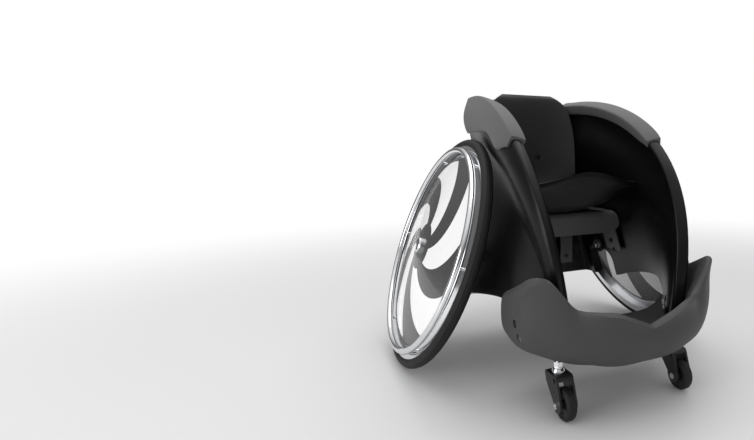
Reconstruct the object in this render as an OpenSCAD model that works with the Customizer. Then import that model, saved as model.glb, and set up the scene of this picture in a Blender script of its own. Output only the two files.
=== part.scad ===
/* [Rear wheels] */
// Outer radius of the rear tyre
wheel_r = 305; // [290:1:320]
// Radius of the tyre's round section
tyre_sec_r = 14; // [12:0.5:16]
// Lean of each rear wheel from upright, tops inwards, in degrees
camber = 20; // [17:0.5:21]
// Distance between the two points where the rear tyres meet the floor
track_w = 778; // [770:2:790]
// Radius of the bore in the hub bearings, which is the axle's radius
axle_r = 7.5; // [6:0.5:9]
// Outer radius of a hub bearing
bearing_r = 16; // [14:0.5:18]
// Width of a hub bearing
bearing_w = 10; // [8:0.5:12]
// Outer radius of the hub barrel
hub_r = 23; // [21:0.5:26]
// Centreline radius of the hand rim
hand_rim_r = 267; // [262:1:270]
// Radius of the hand rim's tube
hand_tube_r = 8; // [6:0.5:9]
// Distance from the wheel's middle plane out to the hand rim
hand_rim_off = 25.5; // [24:0.5:30]
// Number of posts that carry a hand rim
hand_post_n = 6; // [4:1:10]
// Thickness of the wheel disc
disc_t = 3; // [2:0.5:4]

/* [Body shell] */
// Wall thickness of the body shell
shell_t = 30; // [26:0.5:32]
// Corner radius of the shell's rim
rim_edge_r = 9; // [6:0.5:11]
// Corner radius of the shell's lower edge
low_edge_r = 6; // [4:0.5:8]
// Height of the rim where the back meets the sides
rim_corner_z = 679; // [670:1:690]
// Rise of the back's top edge at its centre
back_arch = 25; // [10:1:30]
// Half width of the rim at the rear corners, on the wall's middle
rim_corner_x = 148; // [144:1:156]
// Half width that the rim gains at the armrests
rim_bulge = 37; // [30:1:42]
// Distance from the wheel axis back to the rim of the back, on the wall's middle
back_y = 96; // [92:1:104]
// Distance that the back leans outwards from its rim to its lower edge
back_lean = 26; // [10:1:34]
// Rounding of the rear corners in plan, on the wall's middle
corner_r = 30; // [26:1:36]
// Distance from the wheel axis forward to the front of the legs
leg_front = 455; // [448:1:465]
// Height of the front legs' lower ends
leg_z = 150; // [142:1:156]
// Half width between the front edges of the legs' lower ends
leg_x = 139.5; // [136:0.5:144]
// Length of a leg's lower end from its front edge to its rear edge
leg_len = 82; // [76:1:90]
// Turn of a leg's lower end from straight ahead, in degrees
leg_toe = 33; // [28:1:36]
// Distance from the wheel's middle plane in to the shell wall's middle, at the wheel's top
well_off_top = 50; // [48:1:54]
// Distance from the wheel's middle plane in to the shell wall's middle, at the lower edge
well_off_low = 66; // [62:1:70]
// Height of the lower edge under the seat's rear half
low_z = 150; // [144:1:156]
// Rise of the arch between the wheel and the leg
arch_h = 77; // [60:1:80]
// Length of the hand slot in the back
slot_l = 108; // [80:1:112]
// Height of the hand slot in the back
slot_h = 28; // [22:1:32]
// Height of the hand slot's centre
slot_z = 650; // [640:1:656]
// Distance of the hand slot's centre from the middle of the back
slot_x = 68; // [62:1:72]

/* [Seat] */
// Thickness of the seat shell
seat_t = 8; // [6:0.5:10]
// Extra thickness of the seat shell's front lip
lip_roll = 4; // [0:0.5:6]
// Half width of the seat shell at the back
seat_back_w = 122; // [112:1:124]
// Half width of the seat shell at its front lip
seat_lip_w = 160; // [150:1:163]
// Height of the seat shell's top edge
seat_top_z = 703; // [690:1:715]
// Height of the lowest point of the seat, on the wall's middle
seat_low_z = 385; // [379:0.5:387]
// Height of the middle of the front lip
seat_lip_z = 498; // [485:1:505]
// Thickness of the seat frame's plate
frame_t = 4; // [3:0.5:5]
// Half width of the frame's back plate
frame_back_w = 86; // [76:1:92]
// Reach of the frame's front band past the plane of the frame's legs
band_reach = 4; // [0:0.5:6]

/* [Arm pads] */
// Thickness of an arm pad
pad_t = 7; // [6:0.5:10]
// Gap between an arm pad and the shell
pad_gap = 0.7; // [0.5:0.1:0.9]
// Depth of the pad's outer flap behind the lobe
pad_out = 74; // [60:1:84]
// Depth of the pad's inner flap
pad_in = 22; // [16:1:30]
// Extra depth of the outer flap at its lobe
pad_lobe = 14; // [6:1:24]

/* [Bumper footrest] */
// Height of the bumper's horns
horn_z = 308; // [296:1:316]
// Half width of the bumper over its horns
bumper_w = 241; // [240:1:250]
// Reach of the bumper in front of the wheel axis
bumper_front = 545; // [535:1:560]
// Height of the bumper's underside at the centre
bumper_low = 108; // [102:1:116]
// Radius of a bumper pin
pin_r = 9; // [7:0.5:10]
// Length of a bumper pin
pin_l = 80; // [74:1:82]

/* [Casters] */
// Radius of a caster wheel
caster_r = 34.5; // [32:0.5:38]
// Width of a caster tyre
caster_w = 22; // [18:0.5:24]
// Distance from the stem's axis forward to the caster's axle
caster_trail = 31; // [26:0.5:34]
// Half distance between the two caster stems
caster_x = 151; // [149:0.5:153]
// Distance from the wheel axis forward to the caster stems
caster_y = 426; // [424:0.5:428]
// Radius of the threaded stem
stem_r = 6; // [5:0.5:7]
// Width over the fork's cheeks
fork_w = 40; // [38:0.5:46]
// Height of the fork's top
fork_top = 92; // [88:0.5:96]

/* [Fasteners] */
// Radius of a screw's shank
screw_r = 3; // [2.5:0.25:3.5]
// Radius of a screw's head
screw_head_r = 6; // [5:0.25:7]
// Height of a screw's head
screw_head_h = 4; // [3:0.25:5]

/* [Hidden] */
$fn = 64;

// Colours as the photograph shows them
black = [0.07, 0.07, 0.075];
dark_grey = [0.24, 0.24, 0.25];
soft_grey = [0.33, 0.33, 0.34];
chrome = [0.82, 0.83, 0.85];
white = [0.92, 0.92, 0.92];

// Every node is moved along Y, so that the origin lies on the floor under the middle of the chair's outline
front_bulge = 9;
centre_y = (bumper_front + front_bulge - wheel_r) / 2;
module centred() { translate([0, centre_y, 0]) children(); }

// Helpers for curves
function mix(a, b, t) = a * (1 - t) + b * t;
function clamp01(t) = max(0, min(1, t));
function ease(t) = let (c = clamp01(t)) c * c * (3 - 2 * c);
function unit(v) = v / norm(v);
function flip_x(p) = [-p[0], p[1], p[2]];
function spline(p, t) =
    let (n = len(p) - 1, i = min(floor(t), n - 1), f = t - i,
        a = p[max(i - 1, 0)], b = p[i], c = p[i + 1], d = p[min(i + 2, n)])
    b + f * (c - a) / 2 + f * f * (a - 2.5 * b + 2 * c - d / 2) + f * f * f * (3 * (b - c) + d - a) / 2;

// Rear wheel frame: local Z points out along the wheel's axis, local X points down the wheel's face
seat_r = wheel_r - tyre_sec_r;
wheel_z = seat_r * cos(camber) + tyre_sec_r;
wheel_x = track_w / 2 - seat_r * sin(camber);
module at_wheel(side) {
    mirror([side < 0 ? 1 : 0, 0, 0]) translate([wheel_x, 0, wheel_z]) rotate([0, 90 - camber, 0])
        children();
}
// Half width of a plane that lies a given distance inside the wheel's middle plane
function wheel_plane_x(off, z) = wheel_x - (off + (z - wheel_z) * sin(camber)) / cos(camber);

// Rim and tyre section
rim_lip_r = seat_r - 7;
rim_seat_r = rim_lip_r - 7;
rim_wall = 3;
bead_w = 8.5;
rim_half = bead_w + rim_wall;
rim_in_r = hand_rim_r - 23;
disc_r = rim_in_r + 8;

// Hub and axle, along the wheel's axis
hub_in = -24;
hub_out = 38;
hub_flange_r = 42;
hub_flange_t = 5;
hub_bore_r = axle_r + 4.5;
run_gap = 0.05;
face_gap = 0.3;
cap_wall = 2;
cap_h = 11;
boss_out = -34;
boss_in = -82;
boss_r = 27;
sleeve_r = axle_r + 6.5;
collar_r = axle_r + 4;
nut_r = axle_r * 1.65;
nut_t = 8;

// Body shell
shell_v = [0, 0.006, 0.014, 0.025, 0.045, 0.08, 0.12, 0.16, 0.2, 0.25, 0.3, 0.37,
    0.45, 0.55, 0.65, 0.75, 0.85, 0.93, 0.975, 0.993, 1];
rim_power = 2.3;
rim_mid_z = 200;
rim_side_y = back_y - corner_r;
notch_rear = 72;
notch_front = -58;
leg_top_half = 142;
function rim_side(th) = [
    mix(rim_corner_x, leg_top_half, th / 90) + rim_bulge * sin(2 * th),
    rim_side_y - (rim_side_y + leg_front) * pow(max(sin(th), 0), 2 / rim_power),
    rim_mid_z + (rim_corner_z - rim_mid_z) * pow(max(cos(th), 0), 2 / rim_power)];
leg_tip = [leg_x, -leg_front + 3, leg_z];
leg_heel = leg_tip + leg_len * [sin(leg_toe), cos(leg_toe), 0];
low_rear_y = back_y + back_lean - corner_r;
// Shell's lower edge ahead of the rear corner: share of the run from the axle to the heel, and of the
// arch's rise
arch_rear = 40;
arch_th = 24;
arch_form = [[0, 0], [0.22, 0.24], [0.42, 0.62], [0.6, 0.85], [0.78, 1], [0.87, 0.93], [0.93, 0.65],
    [0.97, 0.3], [1, 0]];
function arch_k(th) = max(0, th - arch_th) / (90 - arch_th) * (len(arch_form) - 2);
function low_y(th) = th < arch_th ? mix(low_rear_y, arch_rear, th / arch_th)
    : mix(arch_rear, leg_heel[1], spline(arch_form, arch_k(th))[0]);
function low_height(th) = let (a = spline(arch_form, arch_k(th))) mix(low_z, leg_z, a[0]) + arch_h * a[1];
// Wall's middle beside the wheel, drawn inwards ahead of the wheel to meet the leg
function wall_x(y, z) =
    let (off = mix(well_off_low, well_off_top, clamp01((z - low_z) / (rim_corner_z - low_z - 160))),
        a = wheel_plane_x(off, z), b = leg_heel[0] + 0.42 * (y - leg_heel[1]), k = 16)
    -k * ln(exp(-(a - 200) / k) + exp(-(b - 200) / k)) + 200;
flare = 16;
// One point of the side wall: th runs along the rim, v from the rim to the lower edge
function side_pt(th, v) =
    let (e = max(th - 90, 0) / 10, t = min(th, 90),
        r = mix(rim_side(t), leg_tip, e),
        ly = mix(low_y(t), leg_heel[1], e),
        lz = mix(low_height(t), leg_z, e),
        y = mix(r[1], ly, v), z = mix(r[2], lz, v),
        k = pow(t / 90, 1.5),
        s = ease((v - mix(0.05, 0, k)) / mix(0.24, 1, k)),
        straight = mix(r[0], leg_heel[0], v),
        bump = flare * sin(180 * clamp01(v / 0.3)) * (1 - 0.7 * k) * (1 - e))
    [mix(mix(r[0] + bump, wall_x(y, z), s), straight, e), y, z];
// One point of the back: f runs from the middle to the start of the corner
function back_y_at(v) = back_y + back_lean * v + 8 * sin(180 * clamp01(v / 0.35));
function back_pt(f, v) =
    let (c = side_pt(0, v), x = f * (c[0] - corner_r))
    [x, back_y_at(v), mix(rim_corner_z + back_arch * (1 - f * f), low_z, v)];
function corner_pt(a, v) =
    let (c = side_pt(0, v))
    [c[0] - corner_r * (1 - sin(a)), back_y_at(v) - corner_r * (1 - cos(a)), mix(rim_corner_z, low_z, v)];
function side_start(th, v) =
    let (c = side_pt(th, v), d = back_y_at(v) - corner_r - side_pt(0, v)[1])
    [c[0], c[1] + d * (1 - ease(th / 30)), c[2]];
shell_half = concat(
    [for (f = [0.25, 0.5, 0.75, 1]) [for (v = shell_v) back_pt(f, v)]],
    [for (a = [15, 30, 45, 60, 75]) [for (v = shell_v) corner_pt(a, v)]],
    [for (th = [0, 2, 5, 8, 13, 18, 24, 30, 36, 42, 48, 54, 60, 66, 72, 78, 84, 90, 95, 100])
        [for (v = shell_v) side_start(th, v)]]);
shell_grid = concat(
    [for (i = [len(shell_half) - 1:-1:0]) [for (p = shell_half[i]) flip_x(p)]],
    [[for (v = shell_v) back_pt(0, v)]],
    shell_half);
shell_n = len(shell_grid) - 1;
shell_m = len(shell_v) - 1;
function shell_normal(i, j) =
    let (g = shell_grid, p = g[i][j], i0 = max(i - 1, 0), i1 = min(i + 1, shell_n),
        a = (i1 > i ? unit(g[i1][j] - p) : [0, 0, 0]) + (i0 < i ? unit(p - g[i0][j]) : [0, 0, 0]),
        b = g[i][min(j + 1, shell_m)] - g[i][max(j - 1, 0)], n = cross(b, a))
    unit(i == 0 || i == shell_n ? [n[0], n[1], 0] : n);
// Half thickness at distance e from an edge of corner radius r
function half_wall(t, r, e) = t / 2 - r + sqrt(r * r - pow(r - min(e, r), 2));
function shell_half_t(i, j) =
    let (p = shell_grid[i][j], a = norm(p - shell_grid[i][0]), b = norm(p - shell_grid[i][shell_m]))
    min(half_wall(shell_t, rim_edge_r, a), half_wall(shell_t, low_edge_r, b));
shell_rings = [for (i = [0:shell_n]) concat(
    [for (j = [0:shell_m]) shell_grid[i][j] - shell_half_t(i, j) * shell_normal(i, j)],
    [for (j = [shell_m:-1:0]) shell_grid[i][j] + shell_half_t(i, j) * shell_normal(i, j)])];

// Closed solid through rings of points: each end is closed by a fan, or by one face where a fan would
// leave the ring
function ring_mean(r) = [for (k = [0, 1, 2]) [for (p = r) 1] * [for (p = r) p[k]] / len(r)];
module skin(rings, fans = true) {
    m = len(rings[0]);
    n = len(rings);
    pts = concat([for (r = rings) each r], [ring_mean(rings[0]), ring_mean(rings[n - 1])]);
    ends = fans ? concat([for (j = [0:m - 1]) [(j + 1) % m, j, n * m]],
            [for (j = [0:m - 1]) [(n - 1) * m + j, (n - 1) * m + (j + 1) % m, n * m + 1]])
        : [[for (j = [m - 1:-1:0]) j], [for (j = [0:m - 1]) (n - 1) * m + j]];
    polyhedron(pts, concat(
        [for (i = [0:n - 2], j = [0:m - 1]) each [
            [i * m + j, i * m + (j + 1) % m, (i + 1) * m + (j + 1) % m],
            [i * m + j, (i + 1) * m + (j + 1) % m, (i + 1) * m + j]]],
        ends), convexity = 8);
}

// Places of the pins, screws and stems
pin_yz = [[-409, 203], [-423, 177]];
pin_outer_x = 236;
back_screw_x = 22;
back_screw_z = 527;
base_screw_x = 24;
base_screw_y = -30;
frame_leg_off = 83;
frame_leg_y = -100;
frame_leg_w = 70;
front_screw_down = [-32, -2];
rear_plate_y = 88;
rear_leg_x = 152;
rear_leg_w = 42;
rear_leg_low = 190;
rear_screw_z = 212;
frame_boss_r = 10;
insert_r = 9;
insert_top = leg_z + 16;

module frame_bosses() {
    for (s = [-1, 1]) {
        for (d = front_screw_down) at_wheel(s)
            translate([d, frame_leg_y, -frame_leg_off]) cylinder(r = frame_boss_r, h = 14);
        translate([s * rear_leg_x, rear_plate_y, rear_screw_z]) rotate([-90, 0, 0])
            cylinder(r = frame_boss_r, h = 24);
    }
}

module body_shell() {
    centred() color(black) difference() {
        union() {
            difference() {
                skin(shell_rings);
                for (s = [-1, 1]) at_wheel(s) axle_notch();
                hand_slot();
            }
            for (s = [-1, 1]) at_wheel(s) translate([0, 0, boss_in]) cylinder(r = boss_r, h = boss_out
                - boss_in);
            frame_bosses();
        }
        for (s = [-1, 1]) {
            at_wheel(s) translate([0, 0, boss_in - 1]) cylinder(r = sleeve_r, h = boss_out - boss_in + 2);
            for (p = pin_yz) translate([s * 90, p[0], p[1]]) rotate([0, s * 90, 0])
                cylinder(r = pin_r, h = 160);
            translate([s * caster_x, -caster_y, leg_z - 5]) cylinder(r = insert_r, h = insert_top
                - leg_z + 5);
            for (d = front_screw_down) at_wheel(s)
                translate([d, frame_leg_y, -frame_leg_off - 1]) cylinder(r = screw_r, h = 17);
            translate([s * rear_leg_x, rear_plate_y - 1, rear_screw_z]) rotate([-90, 0, 0])
                cylinder(r = screw_r, h = 17);
        }
    }
}
// Opening in the lower edge beside the axle, in the wheel's frame
module axle_notch() {
    top = 14;
    r = 40;
    w = notch_rear - notch_front;
    translate([0, notch_front, -130]) linear_extrude(150) union() {
        translate([top + r, r]) circle(r = r);
        translate([top + r, w - r]) circle(r = r);
        translate([top, r]) square([240, w - 2 * r]);
        translate([top + r, 0]) square([240, w]);
    }
}
module hand_slot() {
    translate([-slot_x, back_y + 60, slot_z]) rotate([90, 0, 0]) linear_extrude(120) union() {
        for (s = [-1, 1]) translate([s * (slot_l - slot_h) / 2, 0]) circle(r = slot_h / 2);
        square([slot_l - slot_h, slot_h], center = true);
    }
}

// Seat shell: its middle line in side view, from the top of the back to the front lip
seat_h = seat_top_z - seat_low_z;
seat_line = [[52, seat_top_z], [46, seat_low_z + 0.9 * seat_h], [38, seat_low_z + 0.68 * seat_h],
    [29, seat_low_z + 0.46 * seat_h], [20, seat_low_z + 0.27 * seat_h], [2, seat_low_z + 0.12 * seat_h],
    [-30, seat_low_z + 16], [-66, seat_low_z + 2], [-100, seat_low_z], [-134, seat_low_z],
    [-182, mix(seat_low_z, seat_lip_z, 0.13)], [-226, mix(seat_low_z, seat_lip_z, 0.42)],
    [-268, mix(seat_low_z, seat_lip_z, 0.76)], [-302, seat_lip_z]];
// Half width, forward wrap and upward lift of the edges at each point of the line
seat_edge = [[seat_back_w - 46, 2, 0], [seat_back_w - 4, 14, 0], [seat_back_w + 9, 30, 0],
    [seat_back_w + 6, 40, 0], [seat_back_w, 44, 4],
    [seat_back_w, 30, 20], [seat_back_w + 1, 14, 34], [seat_back_w + 3, 4, 40],
        [mix(seat_back_w, seat_lip_w, 0.2), 0, 36],
    [mix(seat_back_w, seat_lip_w, 0.35), 0, 30], [mix(seat_back_w, seat_lip_w, 0.6), -6, 20],
    [mix(seat_back_w, seat_lip_w, 0.8), -14, 6], [mix(seat_back_w, seat_lip_w, 0.94), -24, -10],
        [seat_lip_w, -38, -32]];
seat_across = [-1, -0.985, -0.94, -0.85, -0.72, -0.56, -0.4, -0.2, 0, 0.2, 0.4, 0.56, 0.72, 0.85, 0.94,
    0.985, 1];
seat_steps = 3;
seat_k = [for (i = [0:seat_steps * (len(seat_line) - 1)]) i / seat_steps];
function seat_mid(t, v) =
    let (p = spline(seat_line, t), e = spline(seat_edge, t), q = pow(abs(v), 2.4),
        wave = ease((t - 9.5) / 3.5) * 24 * (cos(200 * min(abs(v), 1)) - 1) * 0.5 * (1 - q))
    [v * e[0], p[0] - e[1] * q, p[1] + e[2] * q + wave];
seat_grid = [for (t = seat_k) [for (v = seat_across) seat_mid(t, v)]];
seat_n = len(seat_grid) - 1;
seat_m = len(seat_across) - 1;
function seat_normal(i, j) =
    let (g = seat_grid, a = g[min(i + 1, seat_n)][j] - g[max(i - 1, 0)][j],
        b = g[i][min(j + 1, seat_m)] - g[i][max(j - 1, 0)])
    unit(cross(a, b));
function seat_half_t(i, j) =
    let (p = seat_grid[i][j], full = seat_t + lip_roll * ease((i / seat_steps - 11) / 1.6),
        r = full / 2 - 0.5,
        a = min(norm(p - seat_grid[i][0]), norm(p - seat_grid[i][seat_m])),
        b = min(norm(p - seat_grid[0][j]), norm(p - seat_grid[seat_n][j])))
    min(half_wall(full, r, a), half_wall(full, r, b));
seat_rings = [for (i = [0:seat_n]) concat(
    [for (j = [0:seat_m]) seat_grid[i][j] + seat_half_t(i, j) * seat_normal(i, j)],
    [for (j = [seat_m:-1:0]) seat_grid[i][j] - seat_half_t(i, j) * seat_normal(i, j)])];
module seat_shell() {
    centred() color(black) difference() {
        skin(seat_rings);
        for (s = [-1, 1]) {
            translate([s * back_screw_x, 100, back_screw_z]) rotate([90, 0, 0])
                cylinder(r = screw_r, h = 160);
            translate([s * back_screw_x, back_head_y, back_screw_z]) rotate([90, 0, 0])
                cylinder(r = screw_head_r + 1, h = 60);
            translate([s * base_screw_x, base_screw_y, 300]) cylinder(r = screw_r, h = 150);
            translate([s * base_screw_x, base_screw_y, base_head_z]) cylinder(r = screw_head_r + 1, h = 60);
        }
    }
}
// Seat middle line's place at the screws
back_mid_y = seat_line[3][0];
base_mid_z = seat_low_z + 16;
back_head_y = back_mid_y;
base_head_z = base_mid_z;

// Seat frame: one bent plate under the seat shell, with a front hoop and a rear hoop
frame_gap = seat_t / 2 + frame_t / 2 + 0.3;
function line_normal(t) = let (d = unit(spline(seat_line, t + 0.05)
    - spline(seat_line, t - 0.05))) [-d[1], d[0]];
frame_top_k = 2.75;
frame_end_k = 9;
frame_run = [for (i = [0:20]) mix(frame_top_k, frame_end_k, i / 20)];
function frame_pt(t) = spline(seat_line, t) + frame_gap * line_normal(t);
function frame_half(t) =
    mix(frame_back_w, 78, ease((t - 4.5) / 1.2))
        * (1 - 0.32 * pow(1 - clamp01((t - frame_top_k) / 0.45), 3))
    + (frame_band_w - 78) * ease((t - 6) / 1.5);
frame_front_y = seat_line[9][0];
frame_pan_z = seat_low_z - frame_gap;
// Half width of the frame's front band, taken from the plane that the legs lie in
frame_band_w = wheel_plane_x(frame_leg_off, frame_pan_z) + band_reach;
band_drop = 57;
frame_path = concat(
    [for (t = frame_run) let (p = frame_pt(t)) [p[0], p[1], frame_half(t)]],
    [for (a = [22.5, 45, 67.5, 90]) [frame_front_y - 16 * sin(a), frame_pan_z - 16 * (1 - cos(a)),
        frame_band_w + a / 8]],
    [[frame_front_y - 17, frame_pan_z - band_drop * 0.6, frame_band_w + 16],
     [frame_front_y - 17, frame_pan_z - band_drop * 0.85, frame_band_w + 8],
     [frame_front_y - 17, frame_pan_z - band_drop, frame_band_w - 12]]);
function path_dir(i) = unit([for (k = [0, 1]) frame_path[min(i + 1, len(frame_path) - 1)][k]
    - frame_path[max(i - 1, 0)][k]]);
frame_rings = [for (i = [0:len(frame_path) - 1])
    let (p = frame_path[i], d = path_dir(i), n = [-d[1], d[0]] * frame_t / 2)
    [for (q = [[-1, -1], [1, -1], [1, 1], [-1, 1]]) [q[0] * p[2], p[0] + q[1] * n[0], p[1] + q[1] * n[1]]]];
// Front hoop's strip in front view: level under the pan, then bent down along the shell's wall
hoop_bend = 24;
hoop_leg = 126;
module front_hoop() {
    translate([0, frame_leg_y + frame_leg_w / 2, 0]) rotate([90, 0, 0]) linear_extrude(frame_leg_w)
        for (s = [0, 1]) mirror([s, 0]) hoop_side();
}
module hoop_side() {
    x0 = wheel_plane_x(frame_leg_off + frame_t / 2, frame_pan_z);
    tangent = hoop_bend * tan((90 - camber) / 2);
    turn = [for (a = [0:10:90 - camber]) [x0 - tangent + hoop_bend * sin(a), frame_pan_z - hoop_bend
        * (1 - cos(a))]];
    mid = concat([[frame_back_w, frame_pan_z]], turn, [[x0, frame_pan_z] + hoop_leg
        * [sin(camber), -cos(camber)]]);
    polygon(concat([for (i = [0:len(mid) - 1]) mid[i] + side_normal(mid, i) * frame_t / 2],
        [for (i = [len(mid) - 1:-1:0]) mid[i] - side_normal(mid, i) * frame_t / 2]));
}
function side_normal(m, i) =
    let (d = unit(m[min(i + 1, len(m) - 1)] - m[max(i - 1, 0)])) [-d[1], d[0]];
module rear_hoop() {
    half = rear_leg_x + rear_leg_w / 2;
    top = frame_pan_z + 4;
    r = 26;
    translate([0, rear_plate_y, 0]) rotate([90, 0, 0]) linear_extrude(frame_t) difference() {
        union() {
            translate([-half, rear_leg_low]) square([2 * half, top - r - rear_leg_low]);
            translate([-half + r, top - r - 1]) square([2 * (half - r), r + 1]);
            for (s = [-1, 1]) translate([s * (half - r), top - r]) circle(r = r);
        }
        translate([-half + rear_leg_w, rear_leg_low - 1])
            square([2 * (half - rear_leg_w), top - 41 - rear_leg_low]);
    }
}
module gussets() {
    for (x = [-72, 68]) translate([x, 0, 0]) rotate([90, 0, 90]) linear_extrude(frame_t)
        polygon(concat([for (t = [4.7:0.4:6.7]) frame_pt(t)],
            [[20, frame_pan_z - 2], [rear_plate_y - 2, frame_pan_z - 34],
                [rear_plate_y - 2, frame_pan_z]]));
}
module seat_frame() {
    centred() color(dark_grey) difference() {
        union() {
            skin(frame_rings);
            front_hoop();
            rear_hoop();
            gussets();
        }
        for (s = [-1, 1]) {
            translate([s * back_screw_x, 100, back_screw_z]) rotate([90, 0, 0])
                cylinder(r = screw_r, h = 160);
            translate([s * base_screw_x, base_screw_y, 300]) cylinder(r = screw_r, h = 150);
            for (d = front_screw_down) at_wheel(s)
                translate([d, frame_leg_y, -frame_leg_off - 20]) cylinder(r = screw_r, h = 40);
            translate([s * rear_leg_x, rear_plate_y - 20, rear_screw_z]) rotate([-90, 0, 0])
                cylinder(r = screw_r, h = 40);
        }
    }
}

// Screw along local Z: its head's underside lies at zero, its shank runs down
module screw(l) {
    translate([0, 0, -l]) cylinder(r = screw_r, h = l + 0.01);
    difference() {
        cylinder(r = screw_head_r, h = screw_head_h);
        translate([0, 0, screw_head_h - 2]) linear_extrude(3) circle(r = screw_r, $fn = 6);
    }
}
module back_screws() {
    centred() color(dark_grey) for (s = [-1, 1])
        translate([s * back_screw_x, back_head_y, back_screw_z]) rotate([90, 0, 0]) screw(12);
}
module base_screws() {
    centred() color(dark_grey) for (s = [-1, 1])
        translate([s * base_screw_x, base_screw_y, base_head_z]) screw(14);
}
module frame_screws() {
    centred() color(dark_grey) for (s = [-1, 1]) {
        for (d = front_screw_down) at_wheel(s)
            translate([d, frame_leg_y, -frame_leg_off - frame_t]) rotate([180, 0, 0]) screw(18);
        translate([s * rear_leg_x, rear_plate_y - frame_t, rear_screw_z]) rotate([90, 0, 0]) screw(18);
    }
}

// Arm pads: a thick cover that wraps over the rim, from behind the rear corner to the front of the armrest
pad_stops = [-15, -12.5, -10, -7.5, -5, -2.5, 0, 2, 3.5, 5, 6.5, 8, 10.5, 13, 15.5, 18, 21, 24, 27, 30,
    33, 36, 38, 40, 41.2, 42];
pad_first = pad_stops[0];
pad_last = pad_stops[len(pad_stops) - 1];
function wall_pt(u, v) = u < 0 ? corner_pt(90 + u * 3, v) : side_start(u, v);
function wall_normal(u, v) = unit(cross(wall_pt(u + 1, v) - wall_pt(u - 1, v), wall_pt(u, v + 0.01)
    - wall_pt(u, max(v - 0.01, 0))));
pad_depth = [pad_out + 8, pad_out + 9, pad_out + 8, pad_out + 5, pad_out, pad_out - 12, pad_out - 22,
    pad_out - 28 + pad_lobe, 22];
function pad_depth_out(w) = spline(pad_depth, w * (len(pad_depth) - 1));
function pad_depth_in(w) = pad_in * (1 - 0.4 * ease((w - 0.9) / 0.1));
pad_v_out = [0.02, 0.1, 0.2, 0.32, 0.45, 0.58, 0.72, 0.86, 0.96, 1];
pad_v_in = [0.05, 0.35, 0.7, 0.93, 1];
function pad_ring(u) =
    let (w = (u - pad_first) / (pad_last - pad_first), top = wall_pt(u, 0), l = norm(wall_pt(u, 1) - top),
        a = pad_depth_out(w) / l, b = pad_depth_in(w) / l,
        n = wall_normal(u, 0.004), up = unit(top - wall_pt(u, 0.03)),
        near = shell_t / 2 + pad_gap, end = 1 - 0.45 * pow(abs(2 * w - 1), 14))
    concat(
        [for (k = [len(pad_v_in) - 1:-1:0]) let (v = b * pad_v_in[k]) wall_pt(u, v) - near
            * wall_normal(u, v)],
        [top + pad_gap * up - near * n, top + pad_gap * up + near * n],
        [for (k = pad_v_out) let (v = a * k) wall_pt(u, v) + near * wall_normal(u, v)],
        [for (k = [len(pad_v_out) - 1:-1:0])
            let (v = a * pad_v_out[k], f = sqrt(1 - 0.8 * pow(pad_v_out[k], 12)))
            wall_pt(u, v) + (near + pad_t * end * f) * wall_normal(u, v)],
        [for (c = [75, 55, 35, 15, -15, -35, -55, -75]) top + (pad_gap + pad_t * end * cos(c)) * up
            + (sign(c) * near * (abs(c) > 15 ? 1 : 0.4) + pad_t * end
                * (sin(c) - (abs(c) > 15 ? 0 : 0.26 * sign(c)))) * n],
        [for (k = [0:len(pad_v_in) - 1]) let (v = b * pad_v_in[k], f = sqrt(1 - 0.8 * pow(pad_v_in[k], 12)))
            wall_pt(u, v) - (near + pad_t * end * f) * wall_normal(u, v)]);
pad_rings = [for (i = [len(pad_stops) - 1:-1:0]) pad_ring(pad_stops[i])];
module arm_pad_left() { centred() color(soft_grey) skin(pad_rings, false); }
module arm_pad_right() { centred() color(soft_grey) mirror([1, 0, 0]) skin(pad_rings, false); }

// Bumper footrest: sections square to X, from the middle out to the end of a horn
// Each gives its half width, the rear edge's Y, top and underside, the crest's Y and Z, the front's Y and
// Z, the underside's Z and the sag of the floor
bumper_dip_z = 203;
bumper_crest_z = 240;
bumper_form = [
    [0, -326, 150, 141, -bumper_front + 10, bumper_dip_z, -bumper_front - 3, 172, bumper_low + 2, 18],
    [50, -326, 150, 141, -bumper_front + 5, mix(bumper_dip_z, bumper_crest_z, 0.6), -bumper_front - 5,
        175, bumper_low + 3, 30],
    [82, -326, 150, 141, -bumper_front + 10, bumper_crest_z - 2, -bumper_front - 1, 180, bumper_low + 6,
        36],
    [112, -326, 151, 141, -bumper_front + 23, bumper_crest_z, -bumper_front + 7, 182, bumper_low + 12, 36],
    [146, -326, 154, 142, -bumper_front + 52, bumper_crest_z + 2, -bumper_front + 21, 185,
        bumper_low + 15, 30],
    [175, -326, 165, 146, -bumper_front + 60, mix(bumper_crest_z, horn_z, 0.5), -bumper_front + 37, 195,
        bumper_low + 21, 30],
    [198, -328, 195, 151, -bumper_front + 67, horn_z - 6, -bumper_front + 54, 205, bumper_low + 28, 14],
    [bumper_w - 26, -318, 228, 158, -bumper_front + 79, horn_z, -bumper_front + 69, 212, bumper_low + 33,
        4],
    [bumper_w - 13, -316, 240, 164, -bumper_front + 93, horn_z - 5, -bumper_front + 83, 214,
        bumper_low + 39, 0],
    [bumper_w - 5, -322, 238, 174, -bumper_front + 104, horn_z - 18, -bumper_front + 96, 216,
        bumper_low + 51, 0],
    [bumper_w - 1, -336, 232, 188, -bumper_front + 115, horn_z - 34, -bumper_front + 107, 217,
        bumper_low + 66, 0],
    [bumper_w, -352, 226, 200, -bumper_front + 125, horn_z - 52, -bumper_front + 117, 218,
        bumper_low + 82, 0]];
bumper_k = 3;
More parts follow.
